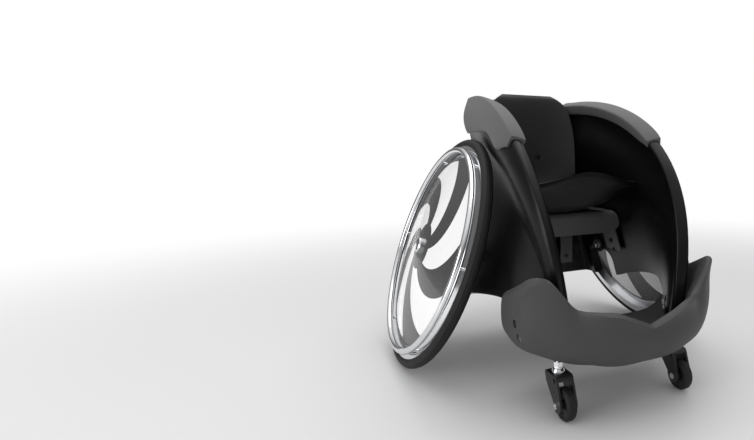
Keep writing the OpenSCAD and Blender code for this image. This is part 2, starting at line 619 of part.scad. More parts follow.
function bumper_section(f) =
    let (ry = f[1], rt = f[2], rb = f[3], cy = f[4], cz = f[5], fy = f[6], fz = f[7], lz = f[8], sag = f[9])
    [[ry, rb + 1], [ry + 3, mix(rb, rt, 0.5)], [ry - 3, rt], [mix(ry, cy, 0.3), mix(rt, cz, 0.3) - sag],
     [mix(ry, cy, 0.62), mix(rt, cz, 0.62) - sag * 1.3], [cy + 16, cz - 6 - sag * 0.4], [cy, cz],
         [cy - 14, cz - 6],
     [mix(cy, fy, 0.72), mix(cz, fz, 0.42)], [fy, fz], [fy + 9, mix(fz, lz, 0.55)],
     [fy + 32, lz + 7], [fy + 72, lz], [mix(fy + 72, ry, 0.5), mix(lz, rb, 0.4)]];
function ring_spline(p, t) =
    let (n = len(p), i = floor(t), f = t - i, a = p[(i + n - 1) % n], b = p[i % n], c = p[(i + 1) % n],
        d = p[(i + 2) % n])
    b + f * (c - a) / 2 + f * f * (a - 2.5 * b + 2 * c - d / 2) + f * f * f * (3 * (b - c) + d - a) / 2;
function bumper_ring(t) =
    let (f = spline(bumper_form, t), s = bumper_section(f))
    [for (j = [0:2 * len(s) - 1]) let (q = ring_spline(s, j / 2)) [f[0], q[0], q[1]]];
bumper_half = [for (i = [1:bumper_k * (len(bumper_form) - 1)]) bumper_ring(i / bumper_k)];
bumper_rings = concat([for (i = [len(bumper_half) - 1:-1:0]) bumper_half[i]],
    [bumper_ring(0)], [for (r = bumper_half) [for (p = r) flip_x(p)]]);
module bumper_footrest() {
    centred() color(soft_grey) difference() {
        skin(bumper_rings);
        leg_socket(1);
        leg_socket(-1);
        for (s = [-1, 1], p = pin_yz)
            translate([s * 90, p[0], p[1]]) rotate([0, s * 90, 0]) cylinder(r = pin_r, h = 200);
    }
}
// Pocket round a leg's lower end, open at the top, with a hole for the caster's stem under it
leg_clear = 0.5;
leg_side_clear = 5;
module leg_socket(side) {
    half = shell_t / 2 + leg_side_clear;
    mirror([side < 0 ? 1 : 0, 0, 0]) union() {
        translate([leg_tip[0], leg_tip[1], leg_z - leg_clear]) rotate([0, 0, -leg_toe])
            translate([-half, -14, 0]) cube([2 * half, 214, 200]);
        translate([caster_x, -caster_y, bumper_low - 20]) cylinder(r = stem_r + 2, h = leg_z
            - bumper_low + 25);
    }
}
module bumper_pins(side) {
    centred() color(soft_grey) for (p = pin_yz) translate([side * (pin_outer_x - pin_l), p[0], p[1]])
        rotate([0, side * 90, 0])
        rotate_extrude() polygon(concat([[0, 0], [pin_r - 2, 0], [pin_r, 2]],
            [[pin_r, pin_l - 2], [pin_r - 2, pin_l], [0, pin_l]]));
}
module bumper_pins_left() { bumper_pins(1); }
module bumper_pins_right() { bumper_pins(-1); }

// Rear axle parts
module axle_sleeves() {
    centred() color(dark_grey) for (s = [-1, 1]) at_wheel(s) difference() {
        translate([0, 0, boss_in]) cylinder(r = sleeve_r, h = boss_out - boss_in);
        translate([0, 0, boss_in - 1]) cylinder(r = axle_r, h = boss_out - boss_in + 2);
    }
}
module axle(side) {
    centred() color(chrome) at_wheel(side) rotate_extrude()
        polygon([[0, boss_in - nut_t - 2], [axle_r - 1, boss_in - nut_t - 2],
        [axle_r, boss_in - nut_t - 1], [axle_r, boss_out], [collar_r, boss_out],
            [collar_r, hub_in - face_gap],
        [axle_r, hub_in - face_gap], [axle_r, hub_out + nut_t + 1], [axle_r - 1, hub_out + nut_t + 2],
        [0, hub_out + nut_t + 2]]);
}
module axle_left() { axle(1); }
module axle_right() { axle(-1); }
module nut(r, bore, h) {
    difference() {
        linear_extrude(h) circle(r = r, $fn = 6);
        translate([0, 0, -1]) cylinder(r = bore, h = h + 2);
    }
}
module axle_nuts() {
    centred() color(chrome) for (s = [-1, 1]) at_wheel(s) {
        translate([0, 0, boss_in - nut_t]) nut(nut_r, axle_r, nut_t);
        translate([0, 0, hub_out + face_gap]) nut(nut_r, axle_r, nut_t);
    }
}

// Rear wheels
module tyre(side) {
    centred() color(black) at_wheel(side) rotate_extrude($fn = 96) difference() {
        union() {
            difference() {
                translate([seat_r, 0]) circle(r = tyre_sec_r, $fn = 40);
                translate([0, -30]) square([rim_lip_r, 60]);
            }
            translate([rim_seat_r, -bead_w]) square([rim_lip_r - rim_seat_r + 0.5, 2 * bead_w]);
        }
        for (a = [-24, 24]) translate([seat_r + tyre_sec_r * cos(a), tyre_sec_r * sin(a)])
            circle(r = 1.1, $fn = 16);
    }
}
module tyre_left() { tyre(1); }
module tyre_right() { tyre(-1); }
module wheel_rim(side) {
    centred() color(chrome) at_wheel(side) rotate_extrude($fn = 96) polygon([
        [rim_lip_r, -rim_half], [rim_lip_r, -bead_w], [rim_seat_r, -bead_w], [rim_seat_r, bead_w],
            [rim_lip_r, bead_w],
        [rim_lip_r, rim_half], [rim_in_r, rim_half], [rim_in_r, bead_w],
            [rim_seat_r - 2 * rim_wall, bead_w],
        [rim_seat_r - 2 * rim_wall, -bead_w], [rim_lip_r - 22, -bead_w], [rim_lip_r - 22, -rim_half]]);
}
module wheel_rim_left() { wheel_rim(1); }
module wheel_rim_right() { wheel_rim(-1); }
disc_hole_r = bearing_r + 1.5;
module wheel_disc(side) {
    centred() color(white) at_wheel(side) rotate_extrude($fn = 96) polygon([
        [disc_r, rim_half], [disc_r, rim_half + disc_t], [rim_in_r + 2, rim_half + disc_t],
        [hub_flange_r, hub_out + disc_t], [disc_hole_r, hub_out + disc_t], [disc_hole_r, hub_out],
        [hub_flange_r, hub_out], [rim_in_r, rim_half]]);
}
module wheel_disc_left() { wheel_disc(1); }
module wheel_disc_right() { wheel_disc(-1); }
module hand_rim(side) {
    centred() color(chrome) at_wheel(side) difference() {
        translate([0, 0, hand_rim_off]) rotate_extrude($fn = 96) translate([hand_rim_r, 0])
            circle(r = hand_tube_r, $fn = 32);
        posts(hand_post_r);
    }
}
hand_post_r = 3.5;
module posts(r) {
    for (i = [0:hand_post_n - 1]) rotate([0, 0, (i + 0.5) * 360 / hand_post_n])
        translate([hand_rim_r, 0, rim_half]) cylinder(r = r, h = hand_rim_off - rim_half - hand_tube_r
            + 4, $fn = 32);
}
module hand_rim_left() { hand_rim(1); }
module hand_rim_right() { hand_rim(-1); }
module rim_posts_left() { centred() color(chrome) at_wheel(1) posts(hand_post_r); }
module rim_posts_right() { centred() color(chrome) at_wheel(-1) posts(hand_post_r); }
module hub(side) {
    centred() color(dark_grey) at_wheel(side) rotate_extrude() polygon([
        [bearing_r, hub_in], [hub_r, hub_in], [hub_r, hub_out - hub_flange_t - 6],
            [hub_r + 6, hub_out - hub_flange_t],
        [hub_flange_r, hub_out - hub_flange_t], [hub_flange_r, hub_out], [bearing_r, hub_out],
            [bearing_r, hub_out - bearing_w],
        [hub_bore_r, hub_out - bearing_w], [hub_bore_r, hub_in + bearing_w],
            [bearing_r, hub_in + bearing_w]]);
}
module hub_left() { hub(1); }
module hub_right() { hub(-1); }
module bearings(side) {
    centred() color(chrome) at_wheel(side) for (z = [hub_in, hub_out - bearing_w]) translate([0, 0, z])
        difference() {
        cylinder(r = bearing_r, h = bearing_w);
        translate([0, 0, -1]) cylinder(r = axle_r + run_gap, h = bearing_w + 2);
        for (e = [0, bearing_w]) translate([0, 0, e]) rotate_extrude()
            translate([(axle_r + bearing_r) / 2, 0])
            square([4, 1.2], center = true);
    }
}
module bearings_left() { bearings(1); }
module bearings_right() { bearings(-1); }
module hub_cap(side) {
    base = hub_out + disc_t;
    r = disc_hole_r + 2.5;
    centred() color(chrome) at_wheel(side) rotate_extrude() polygon([
        [r, base], [r, base + cap_h - 3], [r - 3, base + cap_h], [0, base + cap_h + 1],
        [0, base + cap_h + 1 - cap_wall], [r - 3.6, base + cap_h - cap_wall],
            [r - cap_wall, base + cap_h - 4], [r - cap_wall, base]]);
}
module hub_cap_left() { hub_cap(1); }
module hub_cap_right() { hub_cap(-1); }

// Casters
collar_h = 8;
stem_flange = fork_top + collar_h + face_gap;
stem_low = fork_top - 18;
fork_plate = 9;
cheek_t = 5;
pin_bolt_r = 4;
core_r = caster_r - 11;
module at_stem(side) { translate([side * caster_x, -caster_y, 0]) children(); }
module leg_inserts() {
    centred() color(dark_grey) for (s = [-1, 1]) at_stem(s) difference() {
        translate([0, 0, leg_z]) cylinder(r = insert_r, h = insert_top - leg_z);
        translate([0, 0, leg_z - 1]) cylinder(r = stem_r, h = insert_top - leg_z + 2);
    }
}
module caster_stems() {
    centred() color(chrome) for (s = [-1, 1]) at_stem(s) rotate_extrude() polygon([
        [0, stem_low - 3], [stem_r + 4, stem_low - 3], [stem_r + 4, fork_top - fork_plate - face_gap],
        [stem_r, fork_top - fork_plate - face_gap], [stem_r, stem_flange], [stem_r + 4, stem_flange],
        [stem_r + 4, stem_flange + 3], [stem_r, stem_flange + 3], [stem_r, insert_top], [0, insert_top]]);
}
module lock_nuts() {
    centred() color(chrome) for (s = [-1, 1]) at_stem(s) translate([0, 0, stem_flange + 3])
        nut(stem_r + 4.4, stem_r, 11);
}
module collar(side) {
    centred() color(chrome) at_stem(side) difference() {
        rotate_extrude() polygon([[0, fork_top], [stem_r + 8, fork_top], [stem_r + 8, fork_top + 3],
            [stem_r + 5.5, fork_top + collar_h], [0, fork_top + collar_h]]);
        translate([0, 0, fork_top - 1]) cylinder(r = stem_r + run_gap, h = collar_h + 2);
    }
}
module collar_left() { collar(1); }
module collar_right() { collar(-1); }
module fork(side) {
    h = fork_w / 2;
    centred() color(black) at_stem(side) difference() {
        translate([h, 0, 0]) rotate([0, -90, 0]) linear_extrude(fork_w) fork_outline();
        translate([-(h - cheek_t), -caster_trail - 60, -1])
            cube([2 * (h - cheek_t), 120, fork_top - fork_plate + 1]);
        translate([0, 0, fork_top - fork_plate - 1]) cylinder(r = stem_r + run_gap, h = fork_plate + 2);
        translate([-h - 1, -caster_trail, caster_r]) rotate([0, 90, 0])
            cylinder(r = pin_bolt_r, h = fork_w + 2);
        translate([-h - 1, 0, 0]) rotate([90, 0, 90]) linear_extrude(fork_w + 2)
            polygon([[-24, 86], [-12, 86], [-22, 74]]);
    }
}
// Outline of the fork's cheek: local X up, local Y back
module fork_outline() {
    union() {
        translate([caster_r, -caster_trail]) circle(r = 16);
        polygon([[fork_top, 20], [fork_top, -24], [fork_top - 4, -28], [caster_r + 6, -caster_trail - 15],
            [caster_r - 12, -caster_trail + 10.6], [caster_r + 2, -caster_trail + 16],
                [fork_top - 22, 16], [fork_top - 6, 22]]);
    }
}
module fork_left() { fork(1); }
module fork_right() { fork(-1); }
module at_caster_axle(side) { at_stem(side) translate([0, -caster_trail, caster_r]) rotate([0, 90, 0])
    children(); }
core_half = (fork_w / 2 - cheek_t) - 0.6;
module caster_core(side) {
    centred() color(black) at_caster_axle(side) rotate_extrude() polygon([
        [pin_bolt_r + run_gap, -core_half], [9, -core_half], [9, -caster_w / 2 + 4],
            [core_r - 4, -caster_w / 2 + 4],
        [core_r - 3, -caster_w / 2 + 2], [core_r, -caster_w / 2 + 2], [core_r, caster_w / 2 - 2],
            [core_r - 3, caster_w / 2 - 2],
        [core_r - 4, caster_w / 2 - 4], [9, caster_w / 2 - 4], [9, core_half],
            [pin_bolt_r + run_gap, core_half]]);
}
module caster_core_left() { caster_core(1); }
module caster_core_right() { caster_core(-1); }
module caster_tyre(side) {
    b = caster_w / 2;
    centred() color(black) at_caster_axle(side) rotate_extrude()
        polygon(concat([[core_r, -b + 2], [core_r, b - 2], [core_r + 2, b]],
        [for (a = [90:-15:-90]) [caster_r - 7 + 7 * cos(a), (b - 7) * sign(sin(a)) + 7 * sin(a)]],
            [[core_r + 2, -b]]));
}
module caster_tyre_left() { caster_tyre(1); }
module caster_tyre_right() { caster_tyre(-1); }
module caster_axle(side) {
    h = fork_w / 2;
    centred() color(chrome) at_caster_axle(side) mirror([0, 0, side < 0 ? 1 : 0]) union() {
        translate([0, 0, -h]) cylinder(r = pin_bolt_r, h = fork_w + 6);
        translate([0, 0, -h - 4]) cylinder(r = 7, h = 4);
    }
}
module caster_axle_left() { caster_axle(1); }
module caster_axle_right() { caster_axle(-1); }
module caster_nut(side) {
    centred() color(chrome) at_caster_axle(side) mirror([0, 0, side < 0 ? 1 : 0])
        translate([0, 0, fork_w / 2])
        nut(7.2, pin_bolt_r, 5);
}
module caster_nut_left() { caster_nut(1); }
module caster_nut_right() { caster_nut(-1); }

body_shell();
seat_frame();
seat_shell();
back_screws();
base_screws();
frame_screws();
arm_pad_left();
arm_pad_right();
bumper_footrest();
bumper_pins_left();
bumper_pins_right();
axle_sleeves();
axle_left();
axle_right();
axle_nuts();
tyre_left();
tyre_right();
wheel_rim_left();
wheel_rim_right();
wheel_disc_left();
wheel_disc_right();
hand_rim_left();
hand_rim_right();
rim_posts_left();
rim_posts_right();
hub_left();
hub_right();
bearings_left();
bearings_right();
hub_cap_left();
hub_cap_right();
leg_inserts();
caster_stems();
lock_nuts();
collar_left();
collar_right();
fork_left();
fork_right();
caster_core_left();
caster_core_right();
caster_tyre_left();
caster_tyre_right();
caster_axle_left();
caster_axle_right();
caster_nut_left();
caster_nut_right();
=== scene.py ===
import math

import bmesh
import bpy
from mathutils import Matrix, Vector


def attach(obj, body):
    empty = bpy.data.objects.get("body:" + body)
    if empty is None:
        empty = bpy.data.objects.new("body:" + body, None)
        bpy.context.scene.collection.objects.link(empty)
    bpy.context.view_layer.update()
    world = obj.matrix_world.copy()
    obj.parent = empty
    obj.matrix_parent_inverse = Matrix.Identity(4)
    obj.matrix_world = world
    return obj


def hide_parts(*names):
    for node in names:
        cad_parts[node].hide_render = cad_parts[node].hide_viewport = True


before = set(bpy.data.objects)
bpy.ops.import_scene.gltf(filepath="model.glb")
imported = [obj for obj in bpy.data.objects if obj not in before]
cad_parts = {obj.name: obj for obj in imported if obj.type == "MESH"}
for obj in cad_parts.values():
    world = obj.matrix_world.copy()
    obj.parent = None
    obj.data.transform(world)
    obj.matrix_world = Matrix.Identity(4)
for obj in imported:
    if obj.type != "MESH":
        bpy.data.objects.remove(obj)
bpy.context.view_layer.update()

# Body shell
# One thick-walled tub of black moulded plastic that carries everything else.
# Its rim, arches and the hand slot are rounded where the mould halves part.
SHELL_BLACK = (0.0038, 0.0038, 0.004, 1)
WELD = 1e-5          # metres under which two points of a CAD mesh are one
GRID = 220           # spacing of the nodes in a tree
SCUFF_PULL = (22, 260, 340)
SCUFF_FROM, SCUFF_TO = 0.66, 0.78
GRAIN_DEPTH = 0.0004
DRESSED_EDGE = math.radians(32)
MOULDED_EDGE = math.radians(38)


def add(tree, kind, at, **values):
    """A node at a place in a tree, with its plain settings."""
    made = tree.nodes.new(kind)
    made.location = (at[0] * GRID, -at[1] * GRID)
    for name, value in values.items():
        setattr(made, name, value)
    return made


def join(tree, out, socket):
    """A link from one node's output to another's input."""
    tree.links.new(out, socket)


def sums(tree, operation, at, *inputs):
    """A math node whose inputs are sockets or numbers."""
    made = add(tree, "ShaderNodeMath", at, operation=operation)
    for i, value in enumerate(inputs):
        if isinstance(value, (int, float)):
            made.inputs[i].default_value = value
        else:
            join(tree, value, made.inputs[i])
    return made.outputs[0]


def group_with(name, inputs, outputs):
    """An empty shader group with named sockets."""
    tree = bpy.data.node_groups.new(name, "ShaderNodeTree")
    for label, kind, value in inputs:
        made = tree.interface.new_socket(name=label, in_out="INPUT", socket_type=kind)
        made.default_value = value
    for label, kind in outputs:
        tree.interface.new_socket(name=label, in_out="OUTPUT", socket_type=kind)
    return tree, add(tree, "NodeGroupInput", (-6, 0)), add(tree, "NodeGroupOutput", (6, 0))


SURFACE = [("Colour", "NodeSocketColor"), ("Roughness", "NodeSocketFloat"),
           ("Normal", "NodeSocketVector")]


def moulded_group():
    """Fine mould grain, cloudy gloss and light scuffs for every plastic and rubber piece."""
    tree, given, out = group_with("moulded_surface", [
        ("Colour", "NodeSocketColor", (0.1, 0.1, 0.1, 1)), ("Cloud", "NodeSocketFloat", 0.1),
        ("Roughness", "NodeSocketFloat", 0.4), ("Gloss change", "NodeSocketFloat", 0.08),
        ("Grain scale", "NodeSocketFloat", 900.0), ("Grain height", "NodeSocketFloat", 0.1),
        ("Scuffs", "NodeSocketFloat", 0.1)], SURFACE)
    place = add(tree, "ShaderNodeTexCoord", (-6, 2)).outputs["Object"]
    cloud = add(tree, "ShaderNodeTexNoise", (-4, 1))
    cloud.inputs["Scale"].default_value = 7
    cloud.inputs["Detail"].default_value = 4
    join(tree, place, cloud.inputs["Vector"])
    grain = add(tree, "ShaderNodeTexNoise", (-4, 2))
    grain.inputs["Detail"].default_value = 2
    join(tree, place, grain.inputs["Vector"])
    join(tree, given.outputs["Grain scale"], grain.inputs["Scale"])
    pull = add(tree, "ShaderNodeMapping", (-5, 3))
    pull.inputs["Scale"].default_value = SCUFF_PULL
    pull.inputs["Rotation"].default_value = (0.5, 0.35, 0.8)
    join(tree, place, pull.inputs["Vector"])
    marks = add(tree, "ShaderNodeTexNoise", (-4, 3))
    marks.inputs["Scale"].default_value = 1
    marks.inputs["Detail"].default_value = 1
    join(tree, pull.outputs[0], marks.inputs["Vector"])
    lines = add(tree, "ShaderNodeMapRange", (-2, 3))
    lines.inputs["From Min"].default_value = SCUFF_FROM
    lines.inputs["From Max"].default_value = SCUFF_TO
    join(tree, marks.outputs["Fac"], lines.inputs["Value"])
    scuff = sums(tree, "MULTIPLY", (-1, 3), lines.outputs[0], given.outputs["Scuffs"])
    swing = sums(tree, "SUBTRACT", (-2, 1), cloud.outputs["Fac"], 0.5)
    clouded = sums(tree, "MULTIPLY", (-1, 0), swing, given.outputs["Cloud"])
    tone = sums(tree, "ADD", (0, 0), clouded, 1.0)
    tone = sums(tree, "ADD", (1, 0), tone, sums(tree, "MULTIPLY", (0, 3), scuff, 0.8))
    scale = add(tree, "ShaderNodeVectorMath", (2, 0), operation="SCALE")
    join(tree, given.outputs["Colour"], scale.inputs[0])
    join(tree, tone, scale.inputs["Scale"])
    join(tree, scale.outputs[0], out.inputs["Colour"])
    rough = sums(tree, "ADD", (1, 1), given.outputs["Roughness"],
                 sums(tree, "MULTIPLY", (0, 1), swing, given.outputs["Gloss change"]))
    rough = sums(tree, "ADD", (2, 1), rough, sums(tree, "MULTIPLY", (1, 2), scuff, 0.35))
    join(tree, rough, out.inputs["Roughness"])
    bump = add(tree, "ShaderNodeBump", (2, 2))
    bump.inputs["Distance"].default_value = GRAIN_DEPTH
    join(tree, grain.outputs["Fac"], bump.inputs["Height"])
    join(tree, given.outputs["Grain height"], bump.inputs["Strength"])
    join(tree, bump.outputs[0], out.inputs["Normal"])
    return tree


MOULDED = moulded_group()


def finish_with(name, group, coat=0.0, metallic=0.0, sheen=0.0, specular=0.5, **values):
    """A material whose colour, roughness and normal come from a surface group."""
    made = bpy.data.materials.new(name)
    made.use_nodes = True
    tree = made.node_tree
    face = tree.nodes["Principled BSDF"]
    face.inputs["Metallic"].default_value = metallic
    face.inputs["Coat Weight"].default_value = coat
    face.inputs["Sheen Weight"].default_value = sheen
    face.inputs["Specular IOR Level"].default_value = specular
    surface = add(tree, "ShaderNodeGroup", (-3, 0), node_tree=group)
    for label, value in values.items():
        surface.inputs[label.replace("_", " ")].default_value = value
    join(tree, surface.outputs["Colour"], face.inputs["Base Color"])
    join(tree, surface.outputs["Roughness"], face.inputs["Roughness"])
    join(tree, surface.outputs["Normal"], face.inputs["Normal"])
    return made


def dress(node, material):
    """A CAD node keeps its shape: smooth faces, crisp edges and a real finish."""
    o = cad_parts[node]
    o.data.materials.clear()
    o.data.materials.append(material)
    o.data.polygons.foreach_set("use_smooth", [True] * len(o.data.polygons))
    if o.data.has_custom_normals:
        o.data.attributes.remove(o.data.attributes["custom_normal"])
    weld = o.modifiers.new("weld", "WELD")
    weld.merge_threshold = WELD
    split = o.modifiers.new("edges", "EDGE_SPLIT")
    split.split_angle = DRESSED_EDGE
    return o


def rounded_copy(node, name, crease_angle):
    """A welded copy of a moulded CAD form in four-sided faces, rounded by subdivision."""
    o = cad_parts[node]
    form = bmesh.new()
    form.from_mesh(o.data)
    bmesh.ops.remove_doubles(form, verts=form.verts, dist=WELD)
    bmesh.ops.dissolve_degenerate(form, edges=form.edges, dist=WELD)
    bmesh.ops.join_triangles(form, faces=form.faces, angle_face_threshold=math.radians(40),
                             angle_shape_threshold=math.radians(45))
    crease = form.edges.layers.float.new("crease_edge")
    for edge in form.edges:
        if len(edge.link_faces) == 2 and edge.calc_face_angle(0) > math.radians(crease_angle):
            edge[crease] = 1.0
    mesh = bpy.data.meshes.new(name)
    form.to_mesh(mesh)
    form.free()
    mesh.polygons.foreach_set("use_smooth", [True] * len(mesh.polygons))
    made = bpy.data.objects.new(name, mesh)
    bpy.context.scene.collection.objects.link(made)
    finer = made.modifiers.new("rounding", "SUBSURF")
    finer.levels = finer.render_levels = 1
    split = made.modifiers.new("crisp", "EDGE_SPLIT")
    split.split_angle = MOULDED_EDGE
    return made


shell_finish = finish_with("black_shell_plastic", MOULDED, specular=0.22, Colour=SHELL_BLACK,
                           Cloud=0.25, Roughness=0.3, Gloss_change=0.12, Grain_scale=1400.0,
                           Grain_height=0.10, Scuffs=0.12)
shell = rounded_copy("body_shell", "tub_shell", 42)
shell.data.materials.append(shell_finish)
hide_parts("body_shell")
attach(shell, "chair")

# Seat frame
# A bent steel plate under the seat shell with a front and a rear hoop.
# It is powder coated in dark grey, with a faint orange peel.
frame_finish = finish_with("grey_powder_coat", MOULDED, Colour=(0.095, 0.095, 0.098, 1), Cloud=0.15,
                           Roughness=0.46, Gloss_change=0.1, Grain_scale=520.0, Grain_height=0.22,
                           Scuffs=0.2)
dress("seat_frame", frame_finish)

# Seat shell
# One thin moulded seat with a turned-up edge and a wavy front lip.
# Its satin black face is a little duller than the tub's.
seat_finish = finish_with("satin_seat_plastic", MOULDED, specular=0.42,
                          Colour=(0.005, 0.005, 0.0052, 1), Cloud=0.2, Roughness=0.38,
                          Gloss_change=0.1, Grain_scale=1100.0, Grain_height=0.12, Scuffs=0.15)
seat = rounded_copy("seat_shell", "seat_form", 50)
seat.data.materials.append(seat_finish)
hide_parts("seat_shell")
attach(seat, "chair")

# Seat and frame screws
# Black socket-head screws that hold the seat shell and the frame.
# They are blackened steel, with finger marks.
LINE_DEPTH = 0.0002


def metal_group():
    """Brushed or polished metal: fine drawn lines, fingerprints and a few dull spots."""
    tree, given, out = group_with("metal_surface", [
        ("Colour", "NodeSocketColor", (0.8, 0.8, 0.8, 1)), ("Roughness", "NodeSocketFloat", 0.15),
        ("Smudges", "NodeSocketFloat", 0.08), ("Line scale", "NodeSocketFloat", 300.0),
        ("Line height", "NodeSocketFloat", 0.05)], SURFACE)
    place = add(tree, "ShaderNodeTexCoord", (-6, 2)).outputs["Object"]
    smudge = add(tree, "ShaderNodeTexNoise", (-4, 1))
    smudge.inputs["Scale"].default_value = 26
    smudge.inputs["Detail"].default_value = 5
    join(tree, place, smudge.inputs["Vector"])
    fine = add(tree, "ShaderNodeTexNoise", (-4, 2))
    fine.inputs["Detail"].default_value = 3
    join(tree, given.outputs["Line scale"], fine.inputs["Scale"])
    join(tree, place, fine.inputs["Vector"])
    swing = sums(tree, "SUBTRACT", (-2, 1), smudge.outputs["Fac"], 0.45)
    rough = sums(tree, "ADD", (0, 1), given.outputs["Roughness"],
                 sums(tree, "MULTIPLY", (-1, 1), swing, given.outputs["Smudges"]))
    join(tree, rough, out.inputs["Roughness"])
    tone = sums(tree, "ADD", (0, 0), sums(tree, "MULTIPLY", (-1, 0), swing, -0.2), 1.0)
    scale = add(tree, "ShaderNodeVectorMath", (2, 0), operation="SCALE")
    join(tree, given.outputs["Colour"], scale.inputs[0])
    join(tree, tone, scale.inputs["Scale"])
    join(tree, scale.outputs[0], out.inputs["Colour"])
    bump = add(tree, "ShaderNodeBump", (2, 2))
    bump.inputs["Distance"].default_value = LINE_DEPTH
    join(tree, fine.outputs["Fac"], bump.inputs["Height"])
    join(tree, given.outputs["Line height"], bump.inputs["Strength"])
    join(tree, bump.outputs[0], out.inputs["Normal"])
    return tree


METAL = metal_group()
screw_finish = finish_with("blackened_screws", METAL, metallic=1.0, Colour=(0.045, 0.045, 0.05, 1),
                           Roughness=0.38, Smudges=0.2, Line_scale=700.0, Line_height=0.2)
for node in ("back_screws", "base_screws", "frame_screws"):
    dress(node, screw_finish)

# Arm pads
# Two thick covers of integral-skin foam that wrap over the rim, from its rear corner forward.
# The skin is matt, with a fine leathery grain.
foam_finish = finish_with("foam_skin", MOULDED, sheen=0.12, specular=0.35,
                          Colour=(0.084, 0.084, 0.085, 1), Cloud=0.16, Roughness=0.64,
                          Gloss_change=0.1, Grain_scale=700.0, Grain_height=0.35, Scuffs=0.06)
for side in ("left", "right"):
    pad = rounded_copy("arm_pad_" + side, "arm_cover_" + side, 60)
    pad.data.materials.append(foam_finish)
    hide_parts("arm_pad_" + side)
    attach(pad, "chair")

# Bumper footrest
# One moulded bar across the front: it joins the legs, takes the knocks and holds the feet.
# Matt dark grey plastic with a spark-eroded grain and light scuffs.
bumper_finish = finish_with("bumper_plastic", MOULDED, specular=0.4, Colour=(0.05, 0.0475, 0.048, 1),
                            Cloud=0.14, Roughness=0.56, Gloss_change=0.12, Grain_scale=800.0,
                            Grain_height=0.3, Scuffs=0.2)
bumper = rounded_copy("bumper_footrest", "bumper_bar", 50)
bumper.data.materials.append(bumper_finish)
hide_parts("bumper_footrest")
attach(bumper, "chair")

# Bumper pins
# Four plastic pins that push through the bumper's horns into the legs.
# They are a little lighter than the bumper.
pin_finish = finish_with("pin_plastic", MOULDED, Colour=(0.085, 0.085, 0.086, 1), Cloud=0.12,
                         Roughness=0.5, Gloss_change=0.1, Grain_scale=900.0, Grain_height=0.2,
                         Scuffs=0.2)
for side in ("left", "right"):
    dress("bumper_pins_" + side, pin_finish)

# Axle sleeves and leg inserts
# Turned steel bushes, moulded into the shell's bosses and the ends of its legs.
# Both are hidden, and dressed for views with the outer pieces taken away.
sleeve_finish = finish_with("sleeve_steel", METAL, metallic=1.0, Colour=(0.32, 0.32, 0.33, 1),
                            Roughness=0.32, Smudges=0.16, Line_scale=500.0, Line_height=0.25)
dress("axle_sleeves", sleeve_finish)
dress("leg_inserts", sleeve_finish)

# Bright steel parts
# Chromed rims and posts, hub caps, axles and nuts, and the casters' stems, collars and bolts.
# The polish shows faint finger marks.
BRIGHT = ("axle_left", "axle_right", "axle_nuts", "wheel_rim", "hand_rim", "rim_posts", "hub_cap",
          "caster_stems", "lock_nuts", "collar", "caster_axle", "caster_nut", "bearings")
chrome_finish = finish_with("bright_chrome", METAL, metallic=1.0, Colour=(0.78, 0.785, 0.8, 1),
                            Roughness=0.09, Smudges=0.12, Line_scale=420.0, Line_height=0.05)
for node in sorted(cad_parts):
    if node.startswith(BRIGHT):
        dress(node, chrome_finish)

# Stem threads
# The caster stems are threaded rod, so that the chair can be levelled before the nut is locked.
# The thread is one fine ridge that winds up each stem, rolled from the same chromed steel.
STEM_AT = (0.151, -0.3015, 0.1146)     # half distance, Y and the thread's lower end


def thread_tree():
    """A ridge of given pitch wound round each of two stems."""
    tree = bpy.data.node_groups.new("stem_thread", "GeometryNodeTree")
    for label, value in (("Stem radius", 0.0058), ("Pitch", 0.00175), ("Length", 0.034),
                         ("Ridge", 0.00075), ("Half distance", STEM_AT[0])):
        made = tree.interface.new_socket(name=label, in_out="INPUT", socket_type="NodeSocketFloat")
        made.default_value = value
    tree.interface.new_socket(name="Geometry", in_out="OUTPUT", socket_type="NodeSocketGeometry")
    given = add(tree, "NodeGroupInput", (-6, 0)).outputs
    spiral = add(tree, "GeometryNodeCurveSpiral", (-3, 0))
    spiral.inputs["Resolution"].default_value = 20
    turns = sums(tree, "DIVIDE", (-4, 1), given["Length"], given["Pitch"])
    join(tree, turns, spiral.inputs["Rotations"])
    for label in ("Start Radius", "End Radius"):
        join(tree, given["Stem radius"], spiral.inputs[label])
    join(tree, given["Length"], spiral.inputs["Height"])
    ridge = add(tree, "GeometryNodeCurvePrimitiveCircle", (-3, 2))
    ridge.inputs["Resolution"].default_value = 5
    join(tree, given["Ridge"], ridge.inputs["Radius"])
    wound = add(tree, "GeometryNodeCurveToMesh", (-2, 0))
    wound.inputs["Fill Caps"].default_value = True
    join(tree, spiral.outputs[0], wound.inputs["Curve"])
    join(tree, ridge.outputs[0], wound.inputs["Profile Curve"])
    both = add(tree, "GeometryNodeJoinGeometry", (1, 0))
    for sign in (1, -1):
        place = add(tree, "ShaderNodeCombineXYZ", (-1, 2 + sign))
        aside = sums(tree, "MULTIPLY", (-2, 3 + sign), given["Half distance"], sign)
        join(tree, aside, place.inputs[0])
        place.inputs[1].default_value = STEM_AT[1]
        place.inputs[2].default_value = STEM_AT[2]
        moved = add(tree, "GeometryNodeTransform", (0, sign))
        join(tree, wound.outputs[0], moved.inputs["Geometry"])
        join(tree, place.outputs[0], moved.inputs["Translation"])
        join(tree, moved.outputs[0], both.inputs[0])
    real = add(tree, "GeometryNodeRealizeInstances", (2, 0))
    join(tree, both.outputs[0], real.inputs[0])
    painted = add(tree, "GeometryNodeSetMaterial", (3, 0))
    painted.inputs["Material"].default_value = chrome_finish
    join(tree, real.outputs[0], painted.inputs[0])
    out = add(tree, "NodeGroupOutput", (4, 0))
    join(tree, painted.outputs[0], out.inputs[0])
    return tree


